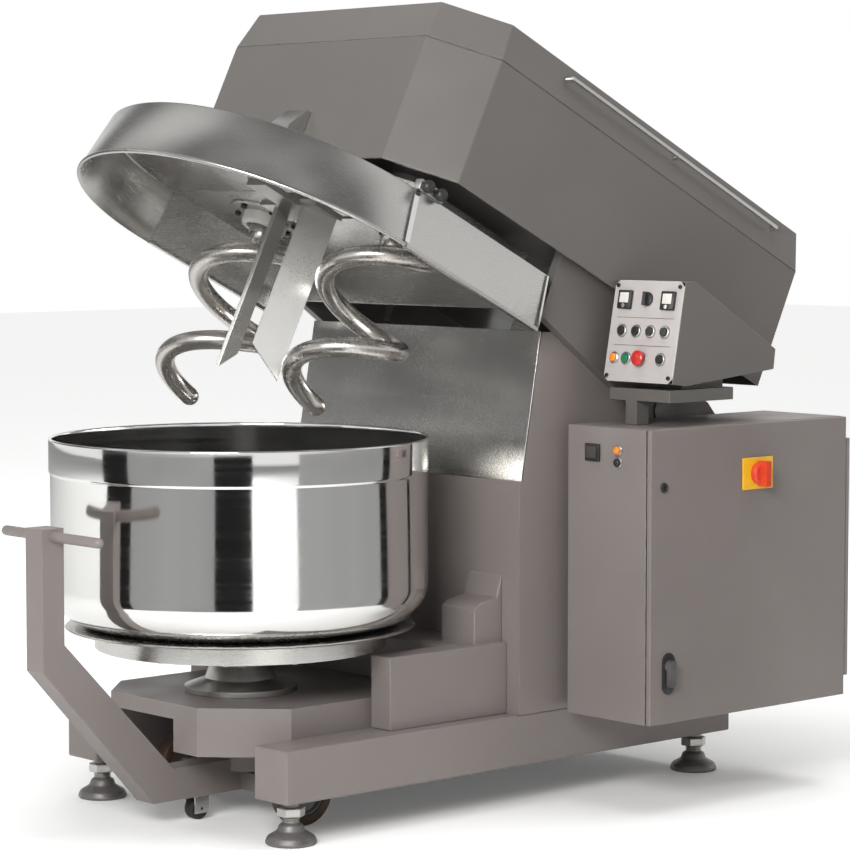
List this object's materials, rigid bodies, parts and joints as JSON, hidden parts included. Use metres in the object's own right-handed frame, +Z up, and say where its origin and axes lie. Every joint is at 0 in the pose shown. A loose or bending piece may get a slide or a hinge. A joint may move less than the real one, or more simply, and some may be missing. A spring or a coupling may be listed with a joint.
{
  "type": "spiral dough mixer",
  "caption": "Floor-standing dough mixer whose head tilts up to lift its spiral tools out of a removable bowl on a wheeled trolley, with a side control cabinet.",
  "frame": {"origin": "on the floor, under the middle of the whole machine's bounding box", "axes": "+Z up, +X towards the electrical cabinet side, -Y towards the operator at the front (the trolley handle side)"},
  "size_m": [1.395, 2.2704, 2.1273],
  "materials": {
    "grey_paint": "satin powder coat, warm grey",
    "dark_paint": "dark grey paint",
    "stainless": "brushed stainless steel",
    "polished": "polished stainless steel",
    "cast": "machined and cast metal",
    "rubber": "matt rubber",
    "black_plastic": "moulded plastic",
    "white_plastic": "white food-grade plastic",
    "panel_plate": "satin anodised plate",
    "red_plastic": "glossy",
    "green_plastic": "glossy",
    "yellow_plastic": "glossy",
    "amber_lens": "clear lens"
  },
  "bodies": {
    "machine": {"base_frame": "grey_paint", "column": "grey_paint", "splash_panel": "stainless", "pivot_shaft": "stainless", "foot_front_left": "cast", "foot_front_right": "cast", "foot_rear_left": "cast", "foot_rear_right": "cast", "bowl_drive_housing": "grey_paint", "bowl_drive_motor": "cast", "cabinet_body": "grey_paint", "switchgear_plate": "black_plastic", "door_hinge": "stainless", "cabinet_bracket": "dark_paint", "console_casing": "grey_paint", "control_plate": "panel_plate", "lift_foot_pin": "stainless"},
    "head": {"head_casing": "grey_paint", "head_lid": "grey_paint", "grab_rail": "stainless", "head_frame": "grey_paint", "cover_front": "stainless", "cover_rear": "stainless", "tool_plate": "stainless", "breaker_blade": "stainless", "head_motor": "grey_paint", "drive_belt_left": "rubber", "drive_belt_right": "rubber"},
    "tool_left": {"spindle_left": "white_plastic", "spiral_left": "stainless", "spindle_pulley_left": "cast"},
    "tool_right": {"spindle_right": "white_plastic", "spiral_right": "stainless", "spindle_pulley_right": "cast"},
    "motor_rotor": {"motor_pulley": "cast"},
    "trolley": {"trolley_frame": "grey_paint", "trolley_handle": "stainless", "bowl_bearing": "stainless"},
    "bowl_unit": {"bowl": "polished", "bowl_base": "stainless"},
    "bowl_friction_wheel": {"bowl_drive_wheel": "rubber"},
    "wheel_left": {"wheel_left": "rubber"},
    "wheel_right": {"wheel_right": "rubber"},
    "caster": {"caster_fork": "stainless"},
    "caster_roller": {"caster_wheel": "rubber"},
    "door": {"cabinet_door": "grey_paint"},
    "latch": {"door_latch": "cast"},
    "isolator": {"isolator_knob": "red_plastic"},
    "selector": {"speed_selector": "black_plastic"},
    "lift_barrel_left": {"lift_cylinder_left": "cast"},
    "lift_barrel_right": {"lift_cylinder_right": "cast"},
    "lift_ram_left": {"lift_rod_left": "polished"},
    "lift_ram_right": {"lift_rod_right": "polished"},
    "jog_button_1": {"jog_button_1": "black_plastic"},
    "jog_button_2": {"jog_button_2": "black_plastic"},
    "jog_button_3": {"jog_button_3": "black_plastic"},
    "jog_button_4": {"jog_button_4": "black_plastic"},
    "start_button": {"start_button": "green_plastic"},
    "stop_button": {"stop_button": "red_plastic"},
    "reset_button": {"reset_button": "black_plastic"}
  },
  "joints": [
    {"name": "head_tilt", "type": "hinge", "parent": "machine", "child": "head", "pos_m": [-0.1575, 0.60378, 1.04], "axis": [1, 0, 0], "range_deg": [0, 26.1]},
    {"name": "trolley_slide", "type": "slide", "parent": "machine", "child": "trolley", "axis": [0, 1, 0], "range_m": [-0.9, 0]},
    {"name": "bowl_spin", "type": "hinge", "parent": "trolley", "child": "bowl_unit", "pos_m": [-0.1575, -0.48022, 0.6], "axis": [0, 0, 1], "continuous": true},
    {"name": "drive_wheel_spin", "type": "hinge", "parent": "machine", "child": "bowl_friction_wheel", "pos_m": [-0.1575, -0.02572, 0.47], "axis": [0, 0, 1], "continuous": true},
    {"name": "spiral_spin_left", "type": "hinge", "parent": "head", "child": "tool_left", "pos_m": [-0.4275, -0.23479, 1.42854], "axis": [0, 0.4399, 0.898], "continuous": true},
    {"name": "spiral_spin_right", "type": "hinge", "parent": "head", "child": "tool_right", "pos_m": [0.1125, -0.23479, 1.42854], "axis": [0, 0.4399, 0.898], "continuous": true},
    {"name": "motor_spin", "type": "hinge", "parent": "head", "child": "motor_rotor", "pos_m": [-0.1575, 0.53882, 1.43929], "axis": [0, 0.4399, 0.898], "continuous": true},
    {"name": "wheel_left_roll", "type": "hinge", "parent": "trolley", "child": "wheel_left", "pos_m": [-0.4075, -0.48022, 0.09], "axis": [1, 0, 0], "range_deg": [-10, 600]},
    {"name": "wheel_right_roll", "type": "hinge", "parent": "trolley", "child": "wheel_right", "pos_m": [0.0925, -0.48022, 0.09], "axis": [1, 0, 0], "range_deg": [-10, 600]},
    {"name": "caster_swivel", "type": "hinge", "parent": "trolley", "child": "caster", "pos_m": [-0.1575, -0.63022, 0.05], "axis": [0, 0, 1], "continuous": true},
    {"name": "caster_roll", "type": "hinge", "parent": "caster", "child": "caster_roller", "pos_m": [-0.1575, -0.63022, 0.03], "axis": [1, 0, 0], "continuous": true},
    {"name": "door_swing", "type": "hinge", "parent": "machine", "child": "door", "pos_m": [0.6435, 1.02028, 0.63], "axis": [0, 0, 1], "range_deg": [0, 110]},
    {"name": "latch_turn", "type": "hinge", "parent": "door", "child": "latch", "pos_m": [0.6535, 0.29978, 0.4], "axis": [1, 0, 0], "range_deg": [0, 90]},
    {"name": "isolator_turn", "type": "hinge", "parent": "door", "child": "isolator", "pos_m": [0.6535, 0.64078, 0.886], "axis": [1, 0, 0], "range_deg": [-90, 0]},
    {"name": "selector_turn", "type": "hinge", "parent": "machine", "child": "selector", "pos_m": [0.5135, 0.36661, 1.35303], "axis": [0, -0.9829, 0.1841], "range_deg": [-45, 45]},
    {"name": "jog_button_1_press", "type": "slide", "parent": "machine", "child": "jog_button_1", "axis": [0, -0.9829, 0.1841], "range_m": [-0.003, 0]},
    {"name": "jog_button_2_press", "type": "slide", "parent": "machine", "child": "jog_button_2", "axis": [0, -0.9829, 0.1841], "range_m": [-0.003, 0]},
    {"name": "jog_button_3_press", "type": "slide", "parent": "machine", "child": "jog_button_3", "axis": [0, -0.9829, 0.1841], "range_m": [-0.003, 0]},
    {"name": "jog_button_4_press", "type": "slide", "parent": "machine", "child": "jog_button_4", "axis": [0, -0.9829, 0.1841], "range_m": [-0.003, 0]},
    {"name": "start_button_press", "type": "slide", "parent": "machine", "child": "start_button", "axis": [0, -0.9829, 0.1841], "range_m": [-0.003, 0]},
    {"name": "stop_button_press", "type": "slide", "parent": "machine", "child": "stop_button", "axis": [0, -0.9829, 0.1841], "range_m": [-0.005, 0]},
    {"name": "reset_button_press", "type": "slide", "parent": "machine", "child": "reset_button", "axis": [0, -0.9829, 0.1841], "range_m": [-0.003, 0]},
    {"name": "lift_swing_left", "type": "hinge", "parent": "machine", "child": "lift_barrel_left", "pos_m": [-0.4575, 0.27978, 0.35], "axis": [1, 0, 0], "range_deg": [-1, 6]},
    {"name": "lift_stroke_left", "type": "slide", "parent": "lift_barrel_left", "child": "lift_ram_left", "axis": [0, 0.0444, 0.999], "range_m": [-0.16, 0.01]},
    {"name": "lift_swing_right", "type": "hinge", "parent": "machine", "child": "lift_barrel_right", "pos_m": [0.1425, 0.27978, 0.35], "axis": [1, 0, 0], "range_deg": [-1, 6]},
    {"name": "lift_stroke_right", "type": "slide", "parent": "lift_barrel_right", "child": "lift_ram_right", "axis": [0, 0.0444, 0.999], "range_m": [-0.16, 0.01]}
  ],
  "couplings": [
    {"joint": "spiral_spin_right", "follows": "spiral_spin_left", "ratio": 1},
    {"joint": "motor_spin", "follows": "spiral_spin_left", "ratio": 2.8333},
    {"joint": "drive_wheel_spin", "follows": "bowl_spin", "ratio": -5.4857},
    {"joint": "wheel_left_roll", "follows": "trolley_slide", "rad_per_m": -11.111},
    {"joint": "wheel_right_roll", "follows": "trolley_slide", "rad_per_m": -11.111},
    {"joint": "lift_swing_left", "follows": "head_tilt", "ratio": 0.1657},
    {"joint": "lift_stroke_left", "follows": "head_tilt", "m_per_rad": -0.3224},
    {"joint": "lift_swing_right", "follows": "head_tilt", "ratio": 0.1657},
    {"joint": "lift_stroke_right", "follows": "head_tilt", "m_per_rad": -0.3224}
  ]
}
